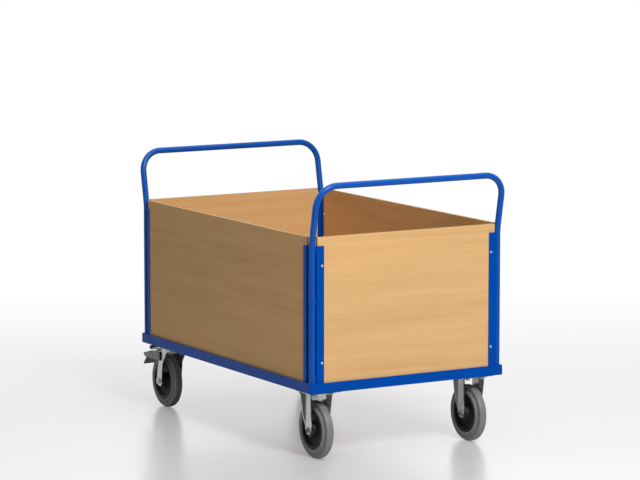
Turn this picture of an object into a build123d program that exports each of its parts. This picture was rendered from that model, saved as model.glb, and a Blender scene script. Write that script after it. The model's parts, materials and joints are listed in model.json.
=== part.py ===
from build123d import *
from math import acos, atan2, cos, hypot, radians, sin, sqrt
import os

# Four-wall platform trolley, in millimetres. X runs along the load bed, Z is up from the floor.
# The fixed casters are at the +X end (front), the braked swivel casters at the -X end (rear).
# Looking towards +X, left is +Y and right is -Y.

# Base frame of rolled angle, with its flange at the bottom
BASE_LENGTH = 1250
BASE_WIDTH = 775
RAIL_HEIGHT = 35
RAIL_FLANGE = 30
RAIL_THICKNESS = 4
CROSS_BAR_PITCH = 300
CROSS_BARS = (-1, 0, 1)
CROSS_BAR_COPE = 130

# Deck board and walls
DECK_THICKNESS = 18
PANEL_THICKNESS = 12
PANEL_HEIGHT = 529
BOARD_GAP = 0.5
PANEL_END_GAP = 2
DECK_NOTCH_GAP = 1

# Tube handles, upright past the walls and then leaning out over the ends
TUBE_DIAMETER = 22
TUBE_WALL = 2
POST_GAP = 0.3
HANDLE_RISE = 175
HANDLE_LEAN = 38
KNEE_DROP = 18
KNEE_RADIUS = 150
HANDLE_CORNER_RADIUS = 75

# Corner angles that hold the walls to the posts
ANGLE_FLANGE = 29
ANGLE_LEG = 20
ANGLE_THICKNESS = 3
ANGLE_DROP = 29
SIDE_ANGLE_GAP = 12

# Panel bolts and nuts
PANEL_BOLT_DIAMETER = 5
PANEL_BOLT_HEAD = 9
PANEL_BOLT_HEAD_HEIGHT = 2.7
PANEL_BOLT_HEAD_ROUNDING = 1.8
PANEL_BOLT_FROM_END = 68
PANEL_BOLT_FROM_EDGE = 8
PANEL_NUT_FLATS = 8
PANEL_NUT_THICKNESS = 4
SIDE_BOLT_SKIN = 0.8
BOLT_TAIL = 2
HOLE_GAP = 0.3
THREAD_GAP = 0.1

# Deck screws
SCREW_DIAMETER = 5
SCREW_HEAD = 10
SCREW_HEAD_HEIGHT = 3
SCREW_TAIL = 4
SCREW_COUNT = 4
SCREW_ROW_PITCH = 190

# Caster plates, mount plates and their countersunk bolts
FIXED_PLATE_LENGTH = 114
FIXED_PLATE_WIDTH = 110
SWIVEL_PLATE_LENGTH = 105
SWIVEL_PLATE_WIDTH = 85
CASTER_PLATE_THICKNESS = 4
CASTER_PLATE_CORNER = 10
CASTER_END_INSET = 96
CASTER_SIDE_INSET = 78
MOUNT_PLATE_THICKNESS = 6
MOUNT_PLATE_END_INSET = 24
MOUNT_PLATE_SIDE_INSET = 20
MOUNT_PLATE_MARGIN = 4
CASTER_BOLT_PITCH_X = 80
CASTER_BOLT_PITCH_Y = 60
CASTER_BOLT_DIAMETER = 10
CASTER_BOLT_HEAD = 19
CASTER_BOLT_HEAD_HEIGHT = 4.5
CASTER_NUT_FLATS = 17
CASTER_NUT_THICKNESS = 8

# Wheels
WHEEL_DIAMETER = 200
WHEEL_HEADROOM = 32
TYRE_WIDTH = 28
TYRE_CROWN = 4
TYRE_DEPTH = 31
BEAD_WIDTH = 39
BEAD_BEVEL = 1.5
BEAD_HEIGHT = 9
WAIST_WIDTH = 26
WAIST_START = 12
WAIST_END = 17
TREAD_START = 21
RIM_WIDTH = 38
RIM_BARREL = 10
RIM_WEB = 8
RIM_DISH = 4
HUB_DIAMETER = 52
HUB_GAP = 1
BEARING_DIAMETER = 32
SEAT_GAP = 0.05
RUNNING_GAP = 0.05

# Axles
AXLE_DIAMETER = 20
AXLE_END_DIAMETER = 12
AXLE_NUT_FLATS = 19
FRONT_NUT_THICKNESS = 3.5
REAR_NUT_THICKNESS = 9
AXLE_TAIL = 0.5
AXLE_END_BORE = 8
AXLE_BORE_DEPTH = 14
AXLE_END_GAP = 0.2

# Fixed brackets
LEG_GAP = 56
LEG_THICKNESS = 3.5
LEG_LENGTH = 40
LEG_TIP_LENGTH = 16
LEG_TIP_DROP = 14
LEG_SHOULDER_RISE = 2
LEG_FLANGE_TOP = 17.5
LEG_FLANGE_SHOULDER = 11.5
LEG_FLANGE_DROP = 13
LEG_FLANGE_KNEE = 7
LEG_FLANGE_KNEE_RISE = 55
LEG_FLANGE_END_RISE = 15

# Swivel heads
SWIVEL_TRAIL = 46
KINGPIN_DIAMETER = 16
KINGPIN_HEAD = 26
KINGPIN_HEAD_HEIGHT = 3
KINGPIN_FOOT = 30
KINGPIN_FOOT_HEIGHT = 6
RACE_DIAMETER = 70
RACE_DEPTH = 4
BALL_DIAMETER = 8
BALL_CIRCLE = 56
BALL_COUNT = 16
BALL_GAP = 0.3
CROWN_THICKNESS = 5
CROWN_LIP = 3
CROWN_LIP_GAP = 1
CROWN_TOP_GAP = 2
SLIDE_GAP = 0.3

# Swivel fork legs
FORK_THICKNESS = 4
FORK_LEG_LENGTH = 40
FORK_KNEE_RISE = 25
FORK_LEAN = 25
FORK_TOP_FRONT = 14
FORK_FLARE_DROP = 42
FORK_FLARE_START = 30
FORK_FLANGE_DEPTH = 10

# Foot brake
BRAKE_TRAVEL = 12
BRAKE_PIN_DIAMETER = 8
BRAKE_PIN_BEHIND_AXLE = 47
BRAKE_PIN_HEAD = 12
BRAKE_PIN_HEAD_HEIGHT = 2
EAR_RADIUS = 10
EAR_ROOT_RADIUS = 13
EAR_ROOT_DROP = 4
EAR_ROOT_FORWARD = 20
PEDAL_HUB_RADIUS = 8
PEDAL_SIDE_GAP = 1
CHEEK_THICKNESS = 3
TONGUE_LENGTH = 69
TONGUE_DROP = 14
TONGUE_THICKNESS = 4
TONGUE_TIP_WIDTH = 77
TONGUE_TIP_LENGTH = 52
SKIRT_THICKNESS = 3
SKIRT_BOTTOM = 24
SKIRT_NOTCH = 3
SKIRT_SHOULDER = 40
SKIRT_SHOULDER_RISE = 13
SKIRT_FRONT = 58
SKIRT_FRONT_RISE = 6
PAD_LENGTH = 14
PAD_WIDTH = 24
PAD_RISE = 8
PAD_THICKNESS = 14
PAD_NOSE = 4
PAD_ARM_THICKNESS = 3
LIP_BACK = 40
LIP_TOP_DROP = 22
LIP_TIP_DROP = 53
CHEEK_TOE = 4
LIP_THICKNESS = 3.5
SHOE_GAP = 0.4
SHOE_THICKNESS = 8
SHOE_START = 12
SHOE_END = 30

# Levels above the floor
axle_z = WHEEL_DIAMETER / 2
caster_plate_z = WHEEL_DIAMETER + WHEEL_HEADROOM
mount_plate_z = caster_plate_z + CASTER_PLATE_THICKNESS
frame_z = mount_plate_z + MOUNT_PLATE_THICKNESS
deck_z = frame_z + RAIL_THICKNESS
deck_top_z = deck_z + DECK_THICKNESS
rail_top_z = frame_z + RAIL_HEIGHT
panel_top_z = deck_z + PANEL_HEIGHT
angle_top_z = panel_top_z - ANGLE_DROP
knee_z = panel_top_z - KNEE_DROP
bar_z = panel_top_z + HANDLE_RISE

# Places in plan, from the middle of the base
half_length = BASE_LENGTH / 2
half_width = BASE_WIDTH / 2
tube_radius = TUBE_DIAMETER / 2
post_inset = RAIL_THICKNESS + POST_GAP + tube_radius
post_x = half_length - post_inset
post_y = half_width - post_inset
wall_inset = RAIL_THICKNESS + ANGLE_THICKNESS
angle_leg_inset = post_inset + tube_radius + POST_GAP
panel_end_inset = angle_leg_inset + ANGLE_THICKNESS + PANEL_END_GAP
panel_bolt_inset = angle_leg_inset + ANGLE_FLANGE - PANEL_BOLT_FROM_EDGE
caster_x = half_length - CASTER_END_INSET
caster_y = half_width - CASTER_SIDE_INSET

# The brake pedals reach further out than the handle, so the base sits off centre by half of that
handle_reach = post_x + HANDLE_LEAN + tube_radius
pedal_reach = caster_x + SWIVEL_TRAIL + BRAKE_PIN_BEHIND_AXLE + TONGUE_LENGTH
base_shift = (pedal_reach - handle_reach) / 2

ENDS = {"front": 1, "rear": -1}
SIDES = {"left": 1, "right": -1}

# Each wall's length, and the distance across the base to the wall opposite
WALLS = {
    "left": (BASE_LENGTH, BASE_WIDTH),
    "right": (BASE_LENGTH, BASE_WIDTH),
    "front": (BASE_WIDTH, BASE_LENGTH),
    "rear": (BASE_WIDTH, BASE_LENGTH),
}


# Small helpers

def save(name, shape):
    export_step(Pos(base_shift, 0, 0) * shape, f"parts/{name}.step")


def block(x0, x1, y0, y1, z0, z1):
    middle = Pos((x0 + x1) / 2, (y0 + y1) / 2, (z0 + z1) / 2)
    return middle * Box(abs(x1 - x0), abs(y1 - y0), abs(z1 - z0))


def prism(points, z0, z1):
    return extrude(Pos(0, 0, z0) * Polygon(*points, align=None), amount=z1 - z0, dir=(0, 0, 1))


def upright_prism(sketch, y0, y1):
    # A sketch with X across and Z up, drawn out along Y
    return Pos(0, y0, 0) * Rot(90, 0, 0) * extrude(sketch, amount=y1 - y0, dir=(0, 0, -1))


def splayed_prism(sketch, y0, y1):
    # The same, but drawn out as far along +X as along Y
    length = sqrt(2) * (y1 - y0)
    return Pos(0, y0, 0) * Rot(90, 0, 0) * extrude(sketch, amount=length, dir=(sqrt(0.5), 0, -sqrt(0.5)))


def cross_prism(sketch, x0, x1):
    # A sketch with Y across and Z up, drawn out along X
    return Pos(x0, 0, 0) * Rot(0, 0, 90) * Rot(90, 0, 0) * extrude(sketch, amount=x1 - x0, dir=(0, 0, 1))


def rod(diameter, z0, z1):
    return Pos(0, 0, (z0 + z1) / 2) * Cylinder(diameter / 2, z1 - z0)


def cross_rod(diameter, y0, y1):
    return Rot(-90, 0, 0) * rod(diameter, y0, y1)


def both_sides(shape):
    return shape + mirror(shape, about=Plane.XZ)


def hex_nut(flats, thickness, bore):
    outline = RegularPolygon(flats / 2, 6, major_radius=False) - Circle(bore / 2 + THREAD_GAP)
    return extrude(outline, amount=thickness)


def countersunk(diameter, head, head_height, z_top, z_end, gap=0):
    cone = Pos(0, 0, z_top - head_height / 2) * Cone(diameter / 2 + gap, head / 2 + gap, head_height)
    return cone + rod(diameter + 2 * gap, z_end, z_top)


def link_sketch(x0, z0, r0, x1, z1, r1):
    # The outline of a belt round two circles
    span = hypot(x1 - x0, z1 - z0)
    heading = atan2(z1 - z0, x1 - x0)
    spread = acos((r0 - r1) / span)
    up = heading + spread
    down = heading - spread
    corners = [
        (x0 + r0 * cos(up), z0 + r0 * sin(up)),
        (x1 + r1 * cos(up), z1 + r1 * sin(up)),
        (x1 + r1 * cos(down), z1 + r1 * sin(down)),
        (x0 + r0 * cos(down), z0 + r0 * sin(down)),
    ]
    return Polygon(*corners, align=None) + Pos(x0, z0) * Circle(r0) + Pos(x1, z1) * Circle(r1)


# Base frame

def mitred_rail(length, across):
    # One side of the frame with its outer face at +Y, mitred at both corners
    def strip(depth, z0, z1):
        outer = length / 2
        inner = outer - depth
        near = across / 2 - depth
        return prism([(-outer, across / 2), (outer, across / 2), (inner, near), (-inner, near)], z0, z1)

    return strip(RAIL_THICKNESS, frame_z, rail_top_z) + strip(RAIL_FLANGE, frame_z, deck_z)


def screw_places(bar):
    first = -(SCREW_COUNT - 1) / 2
    return [(bar * CROSS_BAR_PITCH, (first + row) * SCREW_ROW_PITCH) for row in range(SCREW_COUNT)]


def cross_bar(bar):
    x = bar * CROSS_BAR_PITCH
    reach = half_width - RAIL_FLANGE
    top = block(x - RAIL_FLANGE / 2, x + RAIL_FLANGE / 2, -reach, reach, frame_z, deck_z)
    web_x = x - RAIL_FLANGE / 2
    web_y = half_width - CROSS_BAR_COPE
    web = block(web_x, web_x + RAIL_THICKNESS, -web_y, web_y, deck_z - RAIL_HEIGHT, deck_z)
    shape = top + web
    for place in screw_places(bar):
        shape -= Pos(*place) * rod(SCREW_DIAMETER + 2 * HOLE_GAP, deck_z - RAIL_HEIGHT, deck_z)
    return shape


def caster_bolt_places():
    return [(x * CASTER_BOLT_PITCH_X / 2, y * CASTER_BOLT_PITCH_Y / 2) for x in (-1, 1) for y in (-1, 1)]


def caster_bolt(gap=0):
    end = caster_plate_z - CASTER_NUT_THICKNESS - BOLT_TAIL
    size = (CASTER_BOLT_DIAMETER, CASTER_BOLT_HEAD, CASTER_BOLT_HEAD_HEIGHT)
    return countersunk(*size, frame_z, end, gap)


def mount_plate(end, side):
    outer_x = end * (half_length - MOUNT_PLATE_END_INSET)
    inner_x = end * (caster_x - FIXED_PLATE_LENGTH / 2 - MOUNT_PLATE_MARGIN)
    outer_y = side * (half_width - MOUNT_PLATE_SIDE_INSET)
    inner_y = side * (caster_y - FIXED_PLATE_WIDTH / 2 - MOUNT_PLATE_MARGIN)
    shape = block(outer_x, inner_x, outer_y, inner_y, mount_plate_z, frame_z)
    for x, y in caster_bolt_places():
        shape -= Pos(end * caster_x + x, side * caster_y + y) * caster_bolt(THREAD_GAP)
    return shape


# Deck and walls

def deck_board():
    long_x = half_length - wall_inset - PANEL_THICKNESS - BOARD_GAP
    long_y = half_width - wall_inset - PANEL_THICKNESS - BOARD_GAP
    short_x = half_length - panel_end_inset - SIDE_ANGLE_GAP - DECK_NOTCH_GAP
    short_y = half_width - panel_end_inset - DECK_NOTCH_GAP
    shape = block(-long_x, long_x, -short_y, short_y, deck_z, deck_top_z)
    shape += block(-short_x, short_x, -long_y, long_y, deck_z, deck_top_z)
    for bar in CROSS_BARS:
        for place in screw_places(bar):
            shape -= Pos(*place) * deck_screw(HOLE_GAP)
    return shape


def deck_screw(gap=0):
    end = frame_z - SCREW_TAIL
    return countersunk(SCREW_DIAMETER, SCREW_HEAD, SCREW_HEAD_HEIGHT, deck_top_z, end, gap)


def panel_bolt_levels():
    return (rail_top_z + PANEL_BOLT_FROM_END, angle_top_z - PANEL_BOLT_FROM_END)


def wall_bolt_places(half_span):
    # Places along a wall and up it, for a wall between posts that stand half_span from the middle
    return [(s * (half_span - panel_bolt_inset), z) for s in (-1, 1) for z in panel_bolt_levels()]


def drilled(shape, half_span, outside):
    # Holes for one wall's bolts, up to a depth outside, with the wall's outer face towards +Y
    for x, z in wall_bolt_places(half_span):
        hole = cross_rod(PANEL_BOLT_DIAMETER + 2 * HOLE_GAP, 0, outside)
        shape -= Pos(x, 0, z) * hole
    return shape


def angle_gap(wall):
    # The angles of the side walls stand off the tube, those of the end walls lie along it
    return SIDE_ANGLE_GAP if wall in SIDES else 0


def wall_panel(wall):
    length, across = WALLS[wall]
    half = length / 2 - panel_end_inset - angle_gap(wall)
    face = across / 2 - wall_inset
    board = block(-half, half, face - PANEL_THICKNESS, face, deck_z, panel_top_z)
    return drilled(board, length / 2, across / 2)


def wall_angle(wall, hand):
    # The angle beside one post, its flange on the wall and its leg into the corner
    length, across = WALLS[wall]
    back = hand * (length / 2 - angle_leg_inset - angle_gap(wall))
    face = across / 2 - RAIL_THICKNESS
    flange_end = hand * (length / 2 - angle_leg_inset - ANGLE_FLANGE)
    leg_side = back - hand * ANGLE_THICKNESS
    flange = block(flange_end, back, face - ANGLE_THICKNESS, face, deck_z, angle_top_z)
    leg = block(leg_side, back, face - ANGLE_LEG, face, deck_z, angle_top_z)
    skin = SIDE_BOLT_SKIN if wall in SIDES else 0
    return drilled(flange + leg, length / 2, face - skin)


def button_bolt(length):
    # A round-headed bolt along Y, with its shank from the origin towards -Y
    head = cross_rod(PANEL_BOLT_HEAD, 0, PANEL_BOLT_HEAD_HEIGHT)
    rim = head.edges().filter_by(GeomType.CIRCLE).sort_by(Axis.Y)[-1]
    return cross_rod(PANEL_BOLT_DIAMETER, -length, 0) + fillet(rim, PANEL_BOLT_HEAD_ROUNDING)


def wall_bolt(across):
    # An end wall's bolt, from the outside through to a nut
    grip = ANGLE_THICKNESS + PANEL_THICKNESS + PANEL_NUT_THICKNESS + BOLT_TAIL
    return Pos(0, across / 2 - RAIL_THICKNESS, 0) * button_bolt(grip)


def wall_screw(across):
    # A side wall's bolt, from the inside into a blind hole in the angle
    seat = across / 2 - wall_inset - PANEL_THICKNESS
    grip = PANEL_THICKNESS + ANGLE_THICKNESS - SIDE_BOLT_SKIN - THREAD_GAP
    return Pos(0, seat, 0) * Rot(0, 0, 180) * button_bolt(grip)


def wall_nut(across):
    seat = across / 2 - wall_inset - PANEL_THICKNESS
    nut = hex_nut(PANEL_NUT_FLATS, PANEL_NUT_THICKNESS, PANEL_BOLT_DIAMETER)
    return Pos(0, seat, 0) * Rot(90, 0, 0) * nut


def turned(shape, wall):
    # Turns a wall part made with its outer face at +Y to one of the four walls
    angles = {"left": 0, "right": 180, "front": -90, "rear": 90}
    return Rot(0, 0, angles[wall]) * shape


# Handles

def handle(end):
    foot_x = end * post_x
    bar_x = end * (post_x + HANDLE_LEAN)
    path = FilletPolyline(
        (foot_x, -post_y, deck_z),
        (foot_x, -post_y, knee_z),
        (bar_x, -post_y, bar_z),
        (bar_x, post_y, bar_z),
        (foot_x, post_y, knee_z),
        (foot_x, post_y, deck_z),
        radius=[KNEE_RADIUS, HANDLE_CORNER_RADIUS, HANDLE_CORNER_RADIUS, KNEE_RADIUS],
    )
    ring = Circle(tube_radius) - Circle(tube_radius - TUBE_WALL)
    return sweep(Pos(foot_x, -post_y, deck_z) * ring, path=path)


# Wheels, each made about a Y axis through the origin

def spun(points_and_arc):
    # A closed outline drawn with the axle along X and the radius along Y, turned about the axle
    face = make_face(points_and_arc)
    return Rot(0, 0, 90) * revolve(face, axis=Axis.X)


def tyre():
    outer = WHEEL_DIAMETER / 2
    seat = outer - TYRE_DEPTH + SEAT_GAP
    shoulder = outer - TYRE_CROWN
    half = TYRE_WIDTH / 2
    side = [
        (RIM_WIDTH / 2, seat),
        (BEAD_WIDTH / 2, seat + BEAD_BEVEL),
        (BEAD_WIDTH / 2, seat + BEAD_HEIGHT),
        (WAIST_WIDTH / 2, seat + WAIST_START),
        (WAIST_WIDTH / 2, seat + WAIST_END),
        (half, seat + TREAD_START),
        (half, shoulder),
    ]
    mirrored = [(-x, r) for x, r in reversed(side)]
    crown = ThreePointArc((half, shoulder), (0, outer), (-half, shoulder))
    outline = Polyline(*side) + crown + Polyline(*mirrored) + Line(mirrored[-1], side[0])
    return spun(outline)


def rim():
    outer = WHEEL_DIAMETER / 2 - TYRE_DEPTH
    barrel = outer - RIM_BARREL
    hub = HUB_DIAMETER / 2
    bore = BEARING_DIAMETER / 2 + SEAT_GAP
    hub_half = LEG_GAP / 2 - HUB_GAP
    half = RIM_WIDTH / 2
    web = RIM_WEB / 2
    side = [
        (hub_half, bore),
        (hub_half, hub),
        (web + RIM_DISH, hub + RIM_DISH),
        (web, barrel - RIM_DISH),
        (half, barrel),
        (half, outer),
    ]
    mirrored = [(-x, r) for x, r in reversed(side)]
    return spun(Polyline(*side, *mirrored, close=True))


def bearing():
    half = LEG_GAP / 2 - HUB_GAP
    ring = cross_rod(BEARING_DIAMETER, -half, half)
    return ring - cross_rod(AXLE_DIAMETER + 2 * RUNNING_GAP, -half, half)


def axle(outside, nut_thickness):
    half = LEG_GAP / 2 - AXLE_END_GAP
    end = outside + nut_thickness + AXLE_TAIL
    shape = cross_rod(AXLE_DIAMETER, -half, half) + cross_rod(AXLE_END_DIAMETER, -end, end)
    return shape - both_sides(cross_rod(AXLE_END_BORE, end - AXLE_BORE_DEPTH, end))


def axle_nuts(outside, nut_thickness):
    nut = hex_nut(AXLE_NUT_FLATS, nut_thickness, AXLE_END_DIAMETER)
    return [Pos(0, side * outside, 0) * Rot(-90 * side, 0, 0) * nut for side in (-1, 1)]


# Casters, each made with its plate over the origin

def caster_plate(length, width):
    outline = RectangleRounded(length, width, CASTER_PLATE_CORNER)
    for place in caster_bolt_places():
        outline -= Pos(*place) * Circle(CASTER_BOLT_DIAMETER / 2 + HOLE_GAP)
    return extrude(Pos(0, 0, caster_plate_z) * outline, amount=CASTER_PLATE_THICKNESS)


def bracket_leg():
    # A web beside the wheel, both edges turned outwards in splayed flanges that narrow downwards
    inner = LEG_GAP / 2
    web = inner + LEG_THICKNESS
    half = LEG_LENGTH / 2
    tip_z = axle_z - LEG_TIP_DROP
    shoulder_z = axle_z + LEG_SHOULDER_RISE
    end_z = axle_z + LEG_FLANGE_END_RISE
    right = [(half, caster_plate_z), (half, shoulder_z), (LEG_TIP_LENGTH / 2, tip_z)]
    leg = upright_prism(Polygon(*right, *[(-x, z) for x, z in reversed(right)], align=None), inner, web)
    width = sqrt(2) * LEG_THICKNESS
    edge = Pos(half - width / 2, (end_z + caster_plate_z) / 2) * Rectangle(width, caster_plate_z - end_z)
    reach = Polygon(
        (inner, caster_plate_z),
        (web + LEG_FLANGE_TOP, caster_plate_z),
        (web + LEG_FLANGE_SHOULDER, caster_plate_z - LEG_FLANGE_DROP),
        (web + LEG_FLANGE_KNEE, axle_z + LEG_FLANGE_KNEE_RISE),
        (web, end_z),
        (inner, end_z),
        align=None,
    )
    flange = splayed_prism(edge, inner, web + LEG_FLANGE_TOP) & cross_prism(reach, 0, LEG_LENGTH)
    return leg + flange + mirror(flange, Plane.YZ)


def fixed_bracket():
    shape = caster_plate(FIXED_PLATE_LENGTH, FIXED_PLATE_WIDTH) + both_sides(bracket_leg())
    outside = LEG_GAP / 2 + LEG_THICKNESS
    return shape - Pos(0, 0, axle_z) * cross_rod(AXLE_END_DIAMETER + 2 * HOLE_GAP, -outside, outside)


# Levels in the swivel head
race_z = caster_plate_z - RACE_DEPTH
crown_top_z = race_z - BALL_DIAMETER - 2 * BALL_GAP
crown_z = crown_top_z - CROWN_THICKNESS


def swivel_plate():
    shape = caster_plate(SWIVEL_PLATE_LENGTH, SWIVEL_PLATE_WIDTH) + rod(RACE_DIAMETER, race_z, caster_plate_z)
    shape -= rod(KINGPIN_DIAMETER + 2 * THREAD_GAP, race_z, mount_plate_z)
    return shape - rod(KINGPIN_HEAD + 2 * THREAD_GAP, mount_plate_z - KINGPIN_HEAD_HEIGHT, mount_plate_z)


def kingpin():
    foot_z = crown_z - SLIDE_GAP
    shape = rod(KINGPIN_DIAMETER, foot_z, mount_plate_z)
    shape += rod(KINGPIN_HEAD, mount_plate_z - KINGPIN_HEAD_HEIGHT, mount_plate_z)
    return shape + rod(KINGPIN_FOOT, foot_z - KINGPIN_FOOT_HEIGHT, foot_z)


def swivel_balls():
    ball = Pos(BALL_CIRCLE / 2, 0, race_z - BALL_GAP - BALL_DIAMETER / 2) * Sphere(BALL_DIAMETER / 2)
    return [Rot(0, 0, 360 * i / BALL_COUNT) * ball for i in range(BALL_COUNT)]


# Places in the swivel caster, from the kingpin
wheel_x = -SWIVEL_TRAIL
pin_x = wheel_x - BRAKE_PIN_BEHIND_AXLE
pin_z = WHEEL_DIAMETER
pin_axis = Axis((pin_x, 0, pin_z), (0, 1, 0))
fork_inner = LEG_GAP / 2
fork_outer = fork_inner + FORK_THICKNESS


def fork_leg():
    # A leg that rises from the axle and leans forwards to the crown, its front edge turned outwards
    # in a splayed flange, with an ear back to the brake's pin
    half = FORK_LEG_LENGTH / 2
    upper = Polygon(
        (wheel_x - half, axle_z),
        (wheel_x - half, axle_z + FORK_KNEE_RISE),
        (wheel_x - half + FORK_LEAN, crown_z),
        (FORK_TOP_FRONT, crown_z),
        (wheel_x + FORK_FLARE_START, crown_z - FORK_FLARE_DROP),
        (wheel_x + half, axle_z),
        align=None,
    )
    root_x = wheel_x + EAR_ROOT_FORWARD
    root_z = pin_z - EAR_ROOT_DROP
    ear = link_sketch(root_x, root_z, EAR_ROOT_RADIUS, pin_x, pin_z, EAR_RADIUS)
    foot = Pos(wheel_x, axle_z) * Circle(half)
    web = upright_prism(upper + foot + ear, fork_inner, fork_outer)
    front_edge = upper - Pos(-sqrt(2) * FORK_THICKNESS, 0) * upper
    return web + splayed_prism(front_edge, fork_inner, fork_outer + FORK_FLANGE_DEPTH)


def swivel_fork():
    lip_inner = RACE_DIAMETER + 2 * CROWN_LIP_GAP
    lip_outer = lip_inner + 2 * CROWN_LIP
    crown = rod(lip_outer, crown_z, caster_plate_z - CROWN_TOP_GAP)
    crown -= rod(lip_inner, crown_top_z, caster_plate_z)
    shape = crown + both_sides(fork_leg())
    shape -= rod(KINGPIN_DIAMETER + 2 * RUNNING_GAP, crown_z, crown_top_z)
    axle_hole = cross_rod(AXLE_END_DIAMETER + 2 * HOLE_GAP, -fork_outer, fork_outer)
    pin_hole = cross_rod(BRAKE_PIN_DIAMETER + 2 * THREAD_GAP, -fork_outer, fork_outer)
    shape -= Pos(wheel_x, 0, axle_z) * axle_hole
    return shape - Pos(pin_x, 0, pin_z) * pin_hole


# Foot brake, from the kingpin, in its released place

def brake_pin():
    seat = fork_outer + SLIDE_GAP
    shape = cross_rod(BRAKE_PIN_DIAMETER, -seat, seat)
    head = cross_rod(BRAKE_PIN_HEAD, seat, seat + BRAKE_PIN_HEAD_HEIGHT)
    return Pos(pin_x, 0, pin_z) * (shape + both_sides(head))


def brake_pedal():
    cheek_outer = fork_inner - PEDAL_SIDE_GAP
    cheek_inner = cheek_outer - CHEEK_THICKNESS
    tip_x = pin_x - TONGUE_LENGTH
    tip_z = pin_z - TONGUE_DROP
    top_z = pin_z + PEDAL_HUB_RADIUS
    fall = TONGUE_DROP / TONGUE_LENGTH
    lip_x = pin_x - LIP_BACK
    lip_z = pin_z - LIP_TOP_DROP
    lip_tip_z = pin_z - LIP_TIP_DROP
    tongue = Polygon(
        (pin_x, top_z),
        (tip_x, tip_z + TONGUE_THICKNESS),
        (tip_x, tip_z),
        (pin_x, top_z - TONGUE_THICKNESS),
        align=None,
    )
    lip = Polygon(
        (lip_x, lip_z),
        (tip_x, lip_tip_z),
        (tip_x, lip_tip_z + LIP_THICKNESS),
        (lip_x - LIP_THICKNESS, lip_z + LIP_THICKNESS),
        align=None,
    )
    cheek = Polygon(
        (pin_x, top_z),
        (lip_x - PEDAL_HUB_RADIUS, top_z - (LIP_BACK + PEDAL_HUB_RADIUS) * fall),
        (lip_x - PEDAL_HUB_RADIUS, lip_z - CHEEK_TOE),
        (lip_x, lip_z - PEDAL_HUB_RADIUS),
        (pin_x, pin_z - PEDAL_HUB_RADIUS),
        align=None,
    )
    half_tip = TONGUE_TIP_WIDTH / 2
    wing_x = tip_x + TONGUE_TIP_LENGTH
    skirt_z = pin_z - SKIRT_BOTTOM
    skirt = Polygon(
        (pin_x + SKIRT_FRONT, pin_z + SKIRT_FRONT_RISE),
        (pin_x + SKIRT_SHOULDER, pin_z + SKIRT_SHOULDER_RISE),
        (tip_x, tip_z + TONGUE_THICKNESS),
        (tip_x, tip_z),
        (tip_x + TONGUE_TIP_LENGTH / 4, skirt_z),
        (tip_x + TONGUE_TIP_LENGTH / 2, skirt_z + SKIRT_NOTCH),
        (wing_x, skirt_z),
        (pin_x + SKIRT_FRONT, skirt_z),
        align=None,
    )
    pad_x = tip_x + PAD_LENGTH
    pad_z = pin_z + PAD_RISE
    pad_half = PAD_THICKNESS / 2
    pad = Polygon(
        (pad_x, pad_z),
        (pad_x - PAD_NOSE, pad_z + pad_half),
        (tip_x + PAD_NOSE, pad_z + pad_half),
        (tip_x, pad_z),
        (tip_x + PAD_NOSE, pad_z - pad_half),
        (pad_x - PAD_NOSE, pad_z - pad_half),
        align=None,
    )
    arm_half = PAD_ARM_THICKNESS / 2
    plan = block(tip_x, wing_x, -half_tip, half_tip, 0, top_z)
    plan += block(wing_x, pin_x, -cheek_outer, cheek_outer, 0, top_z)
    shape = upright_prism(tongue, -half_tip, half_tip) & plan
    shape += both_sides(upright_prism(skirt, half_tip - SKIRT_THICKNESS, half_tip))
    shape += upright_prism(pad, -PAD_WIDTH / 2, PAD_WIDTH / 2)
    shape += block(pad_x - PAD_NOSE, pin_x, -PAD_WIDTH / 2, PAD_WIDTH / 2, pad_z - arm_half, pad_z + arm_half)
    shape += upright_prism(lip, -half_tip, half_tip)
    shape += both_sides(upright_prism(cheek, cheek_inner, cheek_outer))
    shape -= brake_shoe()
    shape += Pos(pin_x, 0, pin_z) * cross_rod(2 * PEDAL_HUB_RADIUS, -cheek_outer, cheek_outer)
    bore = cross_rod(BRAKE_PIN_DIAMETER + 2 * RUNNING_GAP, -cheek_outer, cheek_outer)
    return shape - Pos(pin_x, 0, pin_z) * bore


def brake_shoe():
    # A pad that lies round the tyre when the pedal is down, turned back to its released place
    half = fork_inner - PEDAL_SIDE_GAP - CHEEK_THICKNESS
    inner = WHEEL_DIAMETER / 2 + SHOE_GAP
    outer = inner + SHOE_THICKNESS
    first = atan2(pin_z - axle_z, pin_x - wheel_x) + radians(SHOE_START)
    last = atan2(pin_z - axle_z, pin_x - wheel_x) + radians(SHOE_END)
    middle = (first + last) / 2

    def on_wheel(radius, angle):
        return (wheel_x + radius * cos(angle), axle_z + radius * sin(angle))

    outline = ThreePointArc(on_wheel(inner, first), on_wheel(inner, middle), on_wheel(inner, last))
    outline += Line(on_wheel(inner, last), on_wheel(outer, last))
    outline += ThreePointArc(on_wheel(outer, last), on_wheel(outer, middle), on_wheel(outer, first))
    outline += Line(on_wheel(outer, first), on_wheel(inner, first))
    pressed = upright_prism(make_face(outline), -half, half)
    return pressed.rotate(pin_axis, BRAKE_TRAVEL)


# Build and write every piece

os.makedirs("parts", exist_ok=True)

for wall, (length, across) in WALLS.items():
    kind = "long_rail" if wall in SIDES else "end_rail"
    save(f"{kind}_{wall}", turned(mitred_rail(length, across), wall))
    board = "side_panel" if wall in SIDES else "end_panel"
    save(f"{board}_{wall}", turned(wall_panel(wall), wall))

for number, bar in enumerate(CROSS_BARS, start=1):
    save(f"cross_bar_{number}", cross_bar(bar))

save("deck_board", deck_board())
screw_spots = [place for bar in CROSS_BARS for place in screw_places(bar)]
save("deck_screws", Compound([Pos(*place) * deck_screw() for place in screw_spots]))

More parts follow.
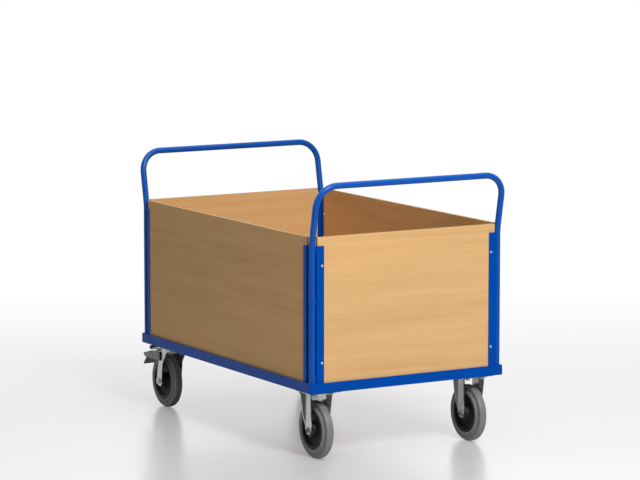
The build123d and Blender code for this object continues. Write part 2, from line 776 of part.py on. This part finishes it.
panel_bolts = []
panel_nuts = []
for wall, (length, across) in WALLS.items():
    for x, z in wall_bolt_places(length / 2):
        if wall in SIDES:
            panel_bolts.append(turned(Pos(x, 0, z) * wall_screw(across), wall))
        else:
            panel_bolts.append(turned(Pos(x, 0, z) * wall_bolt(across), wall))
            panel_nuts.append(turned(Pos(x, 0, z) * wall_nut(across), wall))
save("panel_bolts", Compound(panel_bolts))
save("panel_nuts", Compound(panel_nuts))

bracket_outside = LEG_GAP / 2 + LEG_THICKNESS
caster_bolts = []
caster_nuts = []
balls = []
front_axles = []
front_axle_nuts = []
for end_name, end in ENDS.items():
    save(f"handle_{end_name}", handle(end))
    for side_name, side in SIDES.items():
        corner = f"{end_name}_{side_name}"
        spot = Pos(end * caster_x, side * caster_y, 0)
        save(f"mount_plate_{corner}", mount_plate(end, side))

        # Turning a wall part flips its left and right, so each wall's hand is worked out here
        end_hand = -side if end_name == "front" else side
        side_hand = end if side_name == "left" else -end
        angle_pair = [
            turned(wall_angle(end_name, end_hand), end_name),
            turned(wall_angle(side_name, side_hand), side_name),
        ]
        save(f"corner_angles_{corner}", Compound(angle_pair))

        for x, y in caster_bolt_places():
            nut = hex_nut(CASTER_NUT_FLATS, CASTER_NUT_THICKNESS, CASTER_BOLT_DIAMETER)
            nut_z = caster_plate_z - CASTER_NUT_THICKNESS
            caster_bolts.append(spot * Pos(x, y, 0) * caster_bolt())
            caster_nuts.append(spot * Pos(x, y, nut_z) * nut)

        axle_spot = spot * Pos(0 if end_name == "front" else wheel_x, 0, axle_z)
        save(f"wheel_rim_{corner}", axle_spot * rim())
        save(f"wheel_tyre_{corner}", axle_spot * tyre())
        save(f"wheel_bearing_{corner}", axle_spot * bearing())

        if end_name == "front":
            save(f"fixed_bracket_{side_name}", spot * fixed_bracket())
            front_axles.append(axle_spot * axle(bracket_outside, FRONT_NUT_THICKNESS))
            nuts = axle_nuts(bracket_outside, FRONT_NUT_THICKNESS)
            front_axle_nuts += [axle_spot * nut for nut in nuts]
        else:
            save(f"swivel_plate_{side_name}", spot * swivel_plate())
            save(f"kingpin_{side_name}", spot * kingpin())
            save(f"swivel_fork_{side_name}", spot * swivel_fork())
            save(f"rear_axle_{side_name}", axle_spot * axle(fork_outer, REAR_NUT_THICKNESS))
            nuts = axle_nuts(fork_outer, REAR_NUT_THICKNESS)
            save(f"rear_axle_nuts_{side_name}", Compound([axle_spot * nut for nut in nuts]))
            save(f"brake_pin_{side_name}", spot * brake_pin())
            save(f"brake_pedal_{side_name}", spot * brake_pedal())
            save(f"brake_shoe_{side_name}", spot * brake_shoe())
            balls += [spot * ball for ball in swivel_balls()]

save("caster_bolts", Compound(caster_bolts))
save("caster_nuts", Compound(caster_nuts))
save("front_axles", Compound(front_axles))
save("front_axle_nuts", Compound(front_axle_nuts))
save("swivel_balls", Compound(balls))

print("base shift", base_shift, "bar height", bar_z + tube_radius)
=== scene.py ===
import json
from math import cos, pi, radians, sin

import bmesh
import bpy
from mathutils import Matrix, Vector

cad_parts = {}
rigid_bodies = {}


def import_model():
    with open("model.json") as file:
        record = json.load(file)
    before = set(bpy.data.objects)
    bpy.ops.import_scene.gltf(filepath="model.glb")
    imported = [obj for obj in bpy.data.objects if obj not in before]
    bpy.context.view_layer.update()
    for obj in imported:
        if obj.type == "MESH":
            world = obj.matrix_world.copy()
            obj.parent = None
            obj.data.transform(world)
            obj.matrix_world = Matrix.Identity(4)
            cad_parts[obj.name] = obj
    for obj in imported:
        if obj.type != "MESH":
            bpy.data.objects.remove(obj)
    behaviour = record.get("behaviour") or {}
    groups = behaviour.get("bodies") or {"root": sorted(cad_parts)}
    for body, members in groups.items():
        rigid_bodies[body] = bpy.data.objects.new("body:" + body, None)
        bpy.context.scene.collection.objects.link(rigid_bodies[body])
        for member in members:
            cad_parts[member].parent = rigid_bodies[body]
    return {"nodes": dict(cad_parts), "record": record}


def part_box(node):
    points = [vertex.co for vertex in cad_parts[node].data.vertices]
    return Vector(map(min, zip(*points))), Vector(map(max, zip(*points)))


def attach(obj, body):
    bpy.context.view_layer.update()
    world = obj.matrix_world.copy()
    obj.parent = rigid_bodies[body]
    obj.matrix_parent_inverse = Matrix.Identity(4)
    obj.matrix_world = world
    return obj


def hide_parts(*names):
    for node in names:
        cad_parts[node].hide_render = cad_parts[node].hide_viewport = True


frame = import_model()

# Four-wall platform trolley, in metres. X runs along the load bed, and the fixed casters are at the +X end.
# The scene dresses the frame's solids with paint, board, zinc and rubber, turns the wheels with a finer
# profile, and adds the weld beads and the covers on the brakes' release pads.

for leftover in [o for o in bpy.context.scene.objects if o.name in ("Cube", "Light", "Camera")]:
    bpy.data.objects.remove(leftover)
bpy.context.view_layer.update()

MM = 0.001
NODES = frame["nodes"]
SLOT_OF = {part["node"]: part["material_slot"] for part in frame["record"]["subparts"]}
CORNERS = [(end, side) for end in ("front", "rear") for side in ("left", "right")]
deck_low, deck_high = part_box("deck_board")
BASE_MIDDLE = Vector(((deck_low.x + deck_high.x) / 2, 0, 0))


# Node graphs

# Noise seldom leaves this range
NOISE_LOW = 0.3
NOISE_HIGH = 0.7

# The mix node's sockets for colours
MIX_FACTOR = 0
MIX_FIRST = 6
MIX_SECOND = 7
MIX_RESULT = 2


class Graph:
    """The nodes of one material or world, with short calls that add a node and return its output."""

    def __init__(self, owner):
        owner.use_nodes = True
        self.owner = owner
        self.tree = owner.node_tree

    def named(self, name):
        return self.tree.nodes[name]

    def feed(self, node, socket, value):
        if isinstance(value, bpy.types.NodeSocket):
            self.tree.links.new(value, node.inputs[socket])
        else:
            node.inputs[socket].default_value = value

    def add(self, kind, inputs, **settings):
        node = self.tree.nodes.new(kind)
        for name, value in settings.items():
            setattr(node, name, value)
        for socket, value in inputs.items():
            self.feed(node, socket, value)
        return node

    def surface(self, **values):
        for name, value in values.items():
            socket = name.replace("_", " ").title().replace("Ior", "IOR")
            self.feed(self.named("Principled BSDF"), socket, value)

    def place(self, stretch=(1, 1, 1), turn=(0, 0, 0)):
        source = self.add("ShaderNodeTexCoord", {}).outputs["Object"]
        inputs = {"Vector": source, "Scale": stretch, "Rotation": turn}
        return self.add("ShaderNodeMapping", inputs).outputs["Vector"]

    def noise(self, vector, scale, detail=3.0, rough=0.5, warp=0.0):
        inputs = {"Vector": vector, "Scale": scale, "Detail": detail, "Roughness": rough}
        inputs["Distortion"] = warp
        return self.add("ShaderNodeTexNoise", inputs).outputs["Fac"]

    def span(self, value, low, high, to_low=0.0, to_high=1.0):
        inputs = {"Value": value, "From Min": low, "From Max": high, "To Min": to_low, "To Max": to_high}
        return self.add("ShaderNodeMapRange", inputs).outputs["Result"]

    def spread(self, noise, to_low=0.0, to_high=1.0):
        return self.span(noise, NOISE_LOW, NOISE_HIGH, to_low, to_high)

    def mix(self, factor, first, second):
        inputs = {MIX_FACTOR: factor, MIX_FIRST: first, MIX_SECOND: second}
        return self.add("ShaderNodeMix", inputs, data_type="RGBA").outputs[MIX_RESULT]

    def blend(self, factor, first, second):
        inputs = {"Factor": factor, "A": first, "B": second}
        return self.add("ShaderNodeMix", inputs).outputs["Result"]

    def product(self, first, second):
        return self.add("ShaderNodeMath", {0: first, 1: second}, operation="MULTIPLY").outputs[0]

    def shaders(self, factor, first, second):
        return self.add("ShaderNodeMixShader", {0: factor, 1: first, 2: second}).outputs[0]

    def bump(self, height, strength, distance):
        inputs = {"Height": height, "Strength": strength, "Distance": distance}
        return self.add("ShaderNodeBump", inputs).outputs["Normal"]


def rgb(red, green, blue):
    return (red, green, blue, 1.0)


WHITE = rgb(1, 1, 1)


# Materials

def powder_coat(name, dark, light, tint, coat, coat_roughness):
    # The body colour tints the broad reflection, and a thin clear coat gives the narrow white highlights
    graph = Graph(bpy.data.materials.new(name))
    spot = graph.place()
    peel = graph.noise(spot, scale=420, detail=2)
    cloud = graph.noise(spot, scale=9)
    wear = graph.noise(spot, scale=60, detail=4)
    graph.surface(
        base_color=graph.mix(graph.spread(cloud), dark, light),
        roughness=graph.spread(wear, to_low=0.34, to_high=0.44),
        normal=graph.bump(peel, strength=0.05, distance=0.0004),
        specular_ior_level=0.22,
        specular_tint=tint,
        coat_weight=coat,
        coat_roughness=coat_roughness,
    )
    return graph.owner


def beech(name, along, fine, fleck):
    # Each stretch is a scale per axis, small along the grain and large across it
    pale, warm = rgb(0.72, 0.445, 0.205), rgb(0.62, 0.365, 0.155)
    line_brown, fleck_brown = rgb(0.52, 0.285, 0.11), rgb(0.38, 0.19, 0.07)
    graph = Graph(bpy.data.materials.new(name))
    bands = graph.noise(graph.place(along), scale=1.0, detail=4, rough=0.55, warp=0.4)
    lines = graph.noise(graph.place(fine), scale=1.0, rough=0.6)
    flecks = graph.noise(graph.place(fleck), scale=1.0, detail=1, rough=0.4)
    colour = graph.mix(graph.spread(bands), warm, pale)
    colour = graph.mix(graph.span(lines, low=0.35, high=0.75, to_high=0.22), colour, line_brown)
    colour = graph.mix(graph.span(flecks, low=0.66, high=0.74, to_high=0.22), colour, fleck_brown)
    graph.surface(
        base_color=colour,
        roughness=graph.spread(lines, to_low=0.46, to_high=0.58),
        normal=graph.bump(lines, strength=0.06, distance=0.0003),
        specular_ior_level=0.10,
    )
    return graph.owner


def zinc(name, dark, light, metallic, roughness):
    uneven = 0.04
    graph = Graph(bpy.data.materials.new(name))
    spot = graph.place()
    cloud = graph.noise(spot, scale=35, detail=4, rough=0.6)
    wear = graph.noise(spot, scale=60)
    grain = graph.noise(spot, scale=400, detail=2)
    graph.surface(
        base_color=graph.mix(graph.spread(cloud), dark, light),
        metallic=metallic,
        roughness=graph.spread(wear, to_low=roughness - uneven, to_high=roughness + uneven),
        normal=graph.bump(grain, strength=0.02, distance=0.0003),
    )
    return graph.owner


def fastener():
    graph = Graph(bpy.data.materials.new("bright_zinc"))
    spot = graph.place()
    cloud = graph.noise(spot, scale=120)
    wear = graph.noise(spot, scale=300, detail=2)
    grain = graph.noise(spot, scale=900, detail=2)
    graph.surface(
        base_color=graph.mix(cloud, rgb(0.72, 0.73, 0.71), rgb(0.84, 0.84, 0.82)),
        metallic=0.7,
        roughness=graph.spread(wear, to_low=0.30, to_high=0.42),
        normal=graph.bump(grain, strength=0.06, distance=0.0002),
    )
    return graph.owner


def rubber():
    graph = Graph(bpy.data.materials.new("grey_rubber"))
    spot = graph.place()
    cloud = graph.noise(spot, scale=22, detail=4, rough=0.6)
    wear = graph.noise(spot, scale=90)
    grain = graph.noise(spot, scale=700)
    graph.surface(
        base_color=graph.mix(graph.spread(cloud), rgb(0.17, 0.178, 0.178), rgb(0.215, 0.223, 0.223)),
        roughness=graph.spread(wear, to_low=0.46, to_high=0.60),
        normal=graph.bump(grain, strength=0.10, distance=0.0004),
        specular_ior_level=0.55,
    )
    return graph.owner


def hub_plastic():
    graph = Graph(bpy.data.materials.new("black_plastic"))
    spot = graph.place()
    cloud = graph.noise(spot, scale=30)
    wear = graph.noise(spot, scale=80)
    grain = graph.noise(spot, scale=900, detail=2)
    graph.surface(
        base_color=graph.mix(cloud, rgb(0.008, 0.009, 0.010), rgb(0.014, 0.015, 0.016)),
        roughness=graph.spread(wear, to_low=0.50, to_high=0.65),
        normal=graph.bump(grain, strength=0.08, distance=0.0003),
        specular_ior_level=0.3,
    )
    return graph.owner


BLUE_FLAT = powder_coat(
    "powder_coat_blue",
    dark=rgb(0.0, 0.057, 0.335),
    light=rgb(0.0, 0.067, 0.385),
    tint=rgb(0.05, 0.30, 0.65),
    coat=0.04,
    coat_roughness=0.16,
)
# The same blue paint as the flat parts, with a lighter body colour on the handle tubes: painted sheen for
# the light falling on their tops
BLUE_TUBE_PAINTED_SHEEN = powder_coat(
    "powder_coat_tube_painted_sheen",
    dark=rgb(0.003, 0.072, 0.37),
    light=rgb(0.003, 0.084, 0.42),
    tint=rgb(0.20, 0.60, 1.0),
    coat=0.4,
    coat_roughness=0.28,
)
BEECH_X = beech("beech_along_x", along=(1.2, 26, 26), fine=(4, 420, 420), fleck=(90, 520, 520))
BEECH_Y = beech("beech_along_y", along=(26, 1.2, 26), fine=(420, 4, 420), fleck=(520, 90, 520))
BRIGHT_ZINC = zinc(
    "zinc_plate", dark=rgb(0.46, 0.50, 0.48), light=rgb(0.56, 0.60, 0.58), metallic=0.95, roughness=0.24
)
# A darker, duller copy of the zinc plating: painted shade on the brake pedals, brake shoes and front axles
ZINC_PAINTED_SHADE = zinc(
    "zinc_painted_shade", dark=rgb(0.17, 0.18, 0.17), light=rgb(0.22, 0.23, 0.22), metallic=0.6, roughness=0.48
)
FINISH = {
    "blue_paint": BLUE_FLAT,
    "beech_board": BEECH_X,
    "zinc_steel": BRIGHT_ZINC,
    "grey_tyre": rubber(),
    "black_hub": hub_plastic(),
    "bright_fastener": fastener(),
}

# Pieces that differ from the rest of their slot, by the start of the name
OWN_FINISH = {
    "end_panel": BEECH_Y,
    # The handles take the lighter blue, as painted sheen
    "handle": BLUE_TUBE_PAINTED_SHEEN,
    # The brake pedals, brake shoes and front axles take the darker zinc, as painted shade
    "brake_pedal": ZINC_PAINTED_SHADE,
    "brake_shoe": ZINC_PAINTED_SHADE,
    "front_axle": ZINC_PAINTED_SHADE,
}

for name, node in NODES.items():
    own = [finish for start, finish in OWN_FINISH.items() if name.startswith(start)]
    node.data.materials.clear()
    node.data.materials.append(own[0] if own else FINISH[SLOT_OF[name]])


# Rounded edges on the pressed, rolled and sawn pieces

EDGE_ROUNDING_MM = {
    "blue_paint": 0.9,
    "beech_board": 0.8,
    "zinc_steel": 0.9,
    "black_hub": 1.2,
    "bright_fastener": 0.5,
}
EDGE_SEGMENTS = 2
SEAM_MM = 0.01
FLAT_ANGLE = radians(1.0)
SHARP_ANGLE = radians(35)
NOT_ROUNDED = ("handle", "swivel_balls", "wheel_bearing", "front_axles", "rear_axle_l", "rear_axle_r")


def round_edges(node, width):
    weld = node.modifiers.new("join_seams", "WELD")
    weld.merge_threshold = SEAM_MM * MM
    flat = node.modifiers.new("flat_faces", "DECIMATE")
    flat.decimate_type = "DISSOLVE"
    flat.angle_limit = FLAT_ANGLE
    bevel = node.modifiers.new("round_edges", "BEVEL")
    bevel.limit_method = "ANGLE"
    bevel.angle_limit = SHARP_ANGLE
    bevel.width = width * MM
    bevel.segments = EDGE_SEGMENTS
    bevel.use_clamp_overlap = True
    node.modifiers.new("even_shading", "WEIGHTED_NORMAL")


for name, node in NODES.items():
    if not name.startswith(NOT_ROUNDED) and SLOT_OF[name] in EDGE_ROUNDING_MM:
        round_edges(node, EDGE_ROUNDING_MM[SLOT_OF[name]])


# Mesh helpers, in millimetres

def piece(name, verts, faces, slot_name, body):
    mesh = bpy.data.meshes.new(name)
    mesh.from_pydata([Vector(v) * MM for v in verts], [], faces)
    mesh.materials.append(FINISH[slot_name])
    mesh.shade_smooth()
    mesh.validate()
    made = bpy.data.objects.new(name, mesh)
    bpy.context.collection.objects.link(made)
    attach(made, body)
    return made


def full_turn(count):
    return [2 * pi * i / count for i in range(count)]


def ring_faces(rings, count, closed):
    # Quads between rings of the same count, and between the last and the first ring where closed
    faces = []
    for ring in range(rings if closed else rings - 1):
        start, after = ring * count, (ring + 1) % rings * count
        for i in range(count):
            j = (i + 1) % count
            faces.append((start + i, start + j, after + j, after + i))
    return faces


def capped_faces(rings, count):
    # Quads along an open row of rings, and a face on each end
    last = (rings - 1) * count
    caps = [tuple(reversed(range(count))), tuple(range(last, last + count))]
    return ring_faces(rings, count, False) + caps


def turned_ring(profile, centre, count):
    # A closed outline of (half width, radius) turned about the Y axis through the centre
    verts = []
    for half, radius in profile:
        for angle in full_turn(count):
            x = centre.x + radius * cos(angle)
            z = centre.z + radius * sin(angle)
            verts.append((x, centre.y + half, z))
    return verts, ring_faces(len(profile), count, True)


def middle_mm(node):
    low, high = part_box(node)
    return (low + high) / 2 / MM


# Wheels

WHEEL_TURNS = 128

# One side's outline as (half width, radius), from the middle of the tread to the rim
TYRE_SIDE = (
    (0.0, 99.3), (0.5, 99.4), (1.0, 99.95), (4.5, 99.75), (8.0, 99.1), (10.6, 98.1),
    (12.4, 96.8), (13.4, 95.3), (13.8, 93.5), (13.6, 91.5), (13.2, 89.0), (13.0, 86.0),
    (13.2, 83.5), (13.8, 81.6), (15.0, 80.6), (17.0, 79.8), (18.2, 78.6), (18.9, 76.0),
    (19.5, 72.0), (19.3, 70.4), (18.7, 69.6), (17.5, 69.3),
)

# One side's outline from the tyre's seat, over the dished web, to the bore
RIM_SIDE = (
    (17.5, 68.8), (18.5, 68.4), (19.0, 67.4), (19.0, 61.4), (18.2, 60.2), (16.0, 59.2),
    (8.0, 57.2), (5.4, 56.0), (4.4, 53.6), (4.8, 48.0), (6.0, 40.0), (7.6, 33.0),
    (9.4, 29.8), (14.0, 27.6), (25.4, 26.2), (26.6, 25.6), (27.0, 24.4), (27.0, 17.4),
    (26.4, 16.3),
)


def wheel_ring(side, centre):
    # The side and its mirror image, with a point on the middle plane kept once
    mirrored = [(-half, radius) for half, radius in reversed(side) if half]
    return turned_ring(list(side) + mirrored, centre, WHEEL_TURNS)


for end, side in CORNERS:
    corner = f"{end}_{side}"
    wheel = f"wheel_{corner}"
    hub = middle_mm(f"wheel_tyre_{corner}")
    tyre = piece(f"tyre_{corner}", *wheel_ring(TYRE_SIDE, hub), "grey_tyre", wheel)
    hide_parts(f"wheel_tyre_{corner}")
    rim = piece(f"rim_{corner}", *wheel_ring(RIM_SIDE, hub), "black_hub", wheel)
    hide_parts(f"wheel_rim_{corner}")


# Weld beads

TUBE_RADIUS = 11
BEAD_RADIUS = 2.6
BEAD_STEP = 1.1
BEAD_RIPPLE = 0.16
BEAD_TIP = 0.02
BEAD_SIDES = 12
LEAST_RINGS = 6
STITCH_LENGTH = 24
STITCH_SHARES = (0.03, 0.595, 0.975)
STITCH_OUT = 0.62
STITCH_IN = 0.86
FOOT_BEAD_LENGTH = 17
FOOT_BEAD_SINK = 0.5
FOOT_BEAD_DROP = 0.6


def bead(start, end, radius):
    # A rippled bead that tapers at both ends, as rings along the line
    start, end = Vector(start), Vector(end)
    length = (end - start).length
    along = (end - start).normalized()
    out = along.orthogonal().normalized()
    over = along.cross(out)
    count = max(LEAST_RINGS, round(length / BEAD_STEP))
    verts = []
    for k in range(count + 1):
        t = k / count
        taper = BEAD_TIP
        if 0 < t < 1:
            taper = min(1.0, (sin(pi * t) * length / radius / 2) ** 0.5 + BEAD_TIP)
        swell = 1 + BEAD_RIPPLE * (k % 3 - 1) / 2
        for angle in full_turn(BEAD_SIDES):
            spoke = out * cos(angle) + over * sin(angle)
            verts.append(start + along * length * t + spoke * radius * taper * swell)
    return verts, capped_faces(count + 1, BEAD_SIDES)


def joined(parts):
    verts, faces = [], []
    for part_verts, part_faces in parts:
        offset = len(verts)
        verts += part_verts
        faces += [tuple(offset + i for i in face) for face in part_faces]
    return verts, faces


def corner_beads(end, side):
    # Stitches between the tube and the end wall's angle, and a bead on both rails at the tube's foot
    low, high = (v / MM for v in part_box(f"handle_{end}"))
    end_sign = 1 if end == "front" else -1
    side_sign = 1 if side == "left" else -1
    post_x = low.x + TUBE_RADIUS if end == "front" else high.x - TUBE_RADIUS
    post_y = side_sign * (high.y - TUBE_RADIUS)
    angle_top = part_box(f"corner_angles_{end}_{side}")[1].z / MM
    rail_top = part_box(f"end_rail_{end}")[1].z / MM
    stitch_x = post_x + end_sign * TUBE_RADIUS * STITCH_OUT
    stitch_y = post_y - side_sign * TUBE_RADIUS * STITCH_IN
    parts = []
    for share in STITCH_SHARES:
        level = rail_top + (angle_top - rail_top) * share
        z0, z1 = level - STITCH_LENGTH / 2, level + STITCH_LENGTH / 2
        parts.append(bead((stitch_x, stitch_y, z0), (stitch_x, stitch_y, z1), BEAD_RADIUS))
    half = FOOT_BEAD_LENGTH / 2
    foot_x = post_x + end_sign * (TUBE_RADIUS - FOOT_BEAD_SINK)
    foot_y = post_y + side_sign * (TUBE_RADIUS - FOOT_BEAD_SINK)
    foot_z = rail_top - FOOT_BEAD_DROP
    parts.append(bead((foot_x, post_y - half, foot_z), (foot_x, post_y + half, foot_z), BEAD_RADIUS))
    parts.append(bead((post_x - half, foot_y, foot_z), (post_x + half, foot_y, foot_z), BEAD_RADIUS))
    return joined(parts)


for end, side in CORNERS:
    piece(f"weld_beads_{end}_{side}", *corner_beads(end, side), "blue_paint", "cart")


# Dark covers on the brakes' release pads, as rings of (place across, share of the reach)

PAD_REACH_X = 8.3
PAD_REACH_Z = 7.7
PAD_FROM_TIP = 7
PAD_ABOVE_PIN = 8
PAD_RINGS = ((-13.6, 0.55), (-13.2, 0.85), (-12.2, 1.0), (12.2, 1.0), (13.2, 0.85), (13.6, 0.55))
PAD_SIDES = 32

for side in ("left", "right"):
    pin = middle_mm(f"brake_pin_{side}")
    tip_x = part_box(f"brake_pedal_{side}")[0].x / MM
    verts = []
    for across, share in PAD_RINGS:
        for angle in full_turn(PAD_SIDES):
            x = tip_x + PAD_FROM_TIP + PAD_REACH_X * share * cos(angle)
            z = pin.z + PAD_ABOVE_PIN + PAD_REACH_Z * share * sin(angle)
            verts.append((x, pin.y + across, z))
    faces = capped_faces(len(PAD_RINGS), PAD_SIDES)
    piece(f"pad_cover_{side}", verts, faces, "black_hub", f"brake_{side}")


# Stage

CAMERA_AZIMUTH = radians(59.80545)
CAMERA_ELEVATION = radians(7.682957)
CAMERA_FROM_BASE = Vector((9.778212, -5.676500, 2.195969))
FOCAL_PIXELS = 3178.818
IMAGE_WIDTH_PIXELS = 640
SENSOR_WIDTH_MM = 36

# The floor's white share for the camera, by the distance behind the object
FLOOR_REACH = 30
FADE_START = 0.45
FADE_END = 3.0
FADE_NEAR = 0.26
FADE_FAR = 1.0

# The floor's dark share for reflections, by the distance in front of it
DARK_START = 0.4
DARK_END = 1.1
DARK_SHARE = 0.85

# The world's light, and its strength in reflections by the heading along X
SKY_LIGHT = 0.10
GLOSS_TURN_START = -0.2
GLOSS_TURN_END = 0.5
BACK_GLOSS = 1.0
FRONT_GLOSS = 0.10

LAMPS = {
    "key": {"place": (5.0, -0.6, 4.2), "target": (0, 0, 0.4), "size": (1.8, 1.8), "power": 312},
    "top": {"place": (0.5, 0, 4.5), "target": (0, 0, 0.3), "size": (4.0, 4.0), "power": 70},
}


def add_camera():
    data = bpy.data.cameras.new("camera")
    data.sensor_width = SENSOR_WIDTH_MM
    data.lens = FOCAL_PIXELS * SENSOR_WIDTH_MM / IMAGE_WIDTH_PIXELS
    camera = bpy.data.objects.new("camera", data)
    camera.location = BASE_MIDDLE + CAMERA_FROM_BASE
    camera.rotation_euler = (pi / 2 - CAMERA_ELEVATION, 0, CAMERA_AZIMUTH)
    bpy.context.collection.objects.link(camera)
    bpy.context.scene.camera = camera


def add_lamp(name, place, target, size, power):
    data = bpy.data.lights.new(name, "AREA")
    data.shape = "RECTANGLE"
    data.size, data.size_y = size
    data.energy = power
    lamp = bpy.data.objects.new(name, data)
    lamp.location = place
    lamp.rotation_euler = (Vector(target) - Vector(place)).to_track_quat("-Z", "Y").to_euler()
    bpy.context.collection.objects.link(lamp)


def add_floor():
    bm = bmesh.new()
    bmesh.ops.create_grid(bm, x_segments=1, y_segments=1, size=FLOOR_REACH)
    mesh = bpy.data.meshes.new("floor")
    bm.to_mesh(mesh)
    bm.free()
    floor = bpy.data.objects.new("floor", mesh)
    bpy.context.collection.objects.link(floor)
    mesh.materials.append(floor_material())


def floor_material():
    # A pale satin floor that fades to plain white behind the object, where only the camera looks,
    # and that is dim in reflections in front, as beside a dark room
    graph = Graph(bpy.data.materials.new("pale_floor"))
    graph.surface(
        base_color=rgb(0.77, 0.77, 0.78),
        roughness=0.25,
        specular_ior_level=1.0,
        coat_weight=1.0,
        coat_roughness=0.25,
    )
    turned = graph.place(turn=(0, 0, pi / 2 - CAMERA_AZIMUTH))
    away = graph.add("ShaderNodeSeparateXYZ", {0: turned}).outputs["X"]
    rays = graph.add("ShaderNodeLightPath", {}).outputs
    fade = graph.span(away, -FADE_END, -FADE_START, FADE_FAR, FADE_NEAR)
    white = graph.add("ShaderNodeEmission", {"Color": WHITE, "Strength": 1.0}).outputs[0]
    front = graph.span(away, DARK_START, DARK_END, 0.0, DARK_SHARE)
    dark = graph.add("ShaderNodeBsdfDiffuse", {"Color": rgb(0.02, 0.02, 0.02)}).outputs[0]
    plain = graph.named("Principled BSDF").outputs[0]
    lit = graph.shaders(graph.product(front, rays["Is Glossy Ray"]), plain, dark)
    seen = graph.shaders(graph.product(fade, rays["Is Camera Ray"]), lit, white)
    graph.feed(graph.named("Material Output"), "Surface", seen)
    return graph.owner


def add_world():
    # Dim for the light it gives, white to the camera, and for reflections white behind and darker in front
    graph = Graph(bpy.data.worlds.new("studio"))
    rays = graph.add("ShaderNodeLightPath", {}).outputs
    heading = graph.add("ShaderNodeTexCoord", {}).outputs["Generated"]
    forward = graph.add("ShaderNodeSeparateXYZ", {0: heading}).outputs["X"]
    gloss = graph.span(forward, GLOSS_TURN_START, GLOSS_TURN_END, BACK_GLOSS, FRONT_GLOSS)
    lit = graph.blend(rays["Is Glossy Ray"], SKY_LIGHT, gloss)
    seen = graph.blend(rays["Is Camera Ray"], lit, 1.0)
    graph.feed(graph.named("Background"), "Color", WHITE)
    graph.feed(graph.named("Background"), "Strength", seen)
    bpy.context.scene.world = graph.owner


add_camera()
add_floor()
add_world()
for name, lamp in LAMPS.items():
    add_lamp(name, **lamp)
bpy.context.scene.view_settings.view_transform = "Standard"
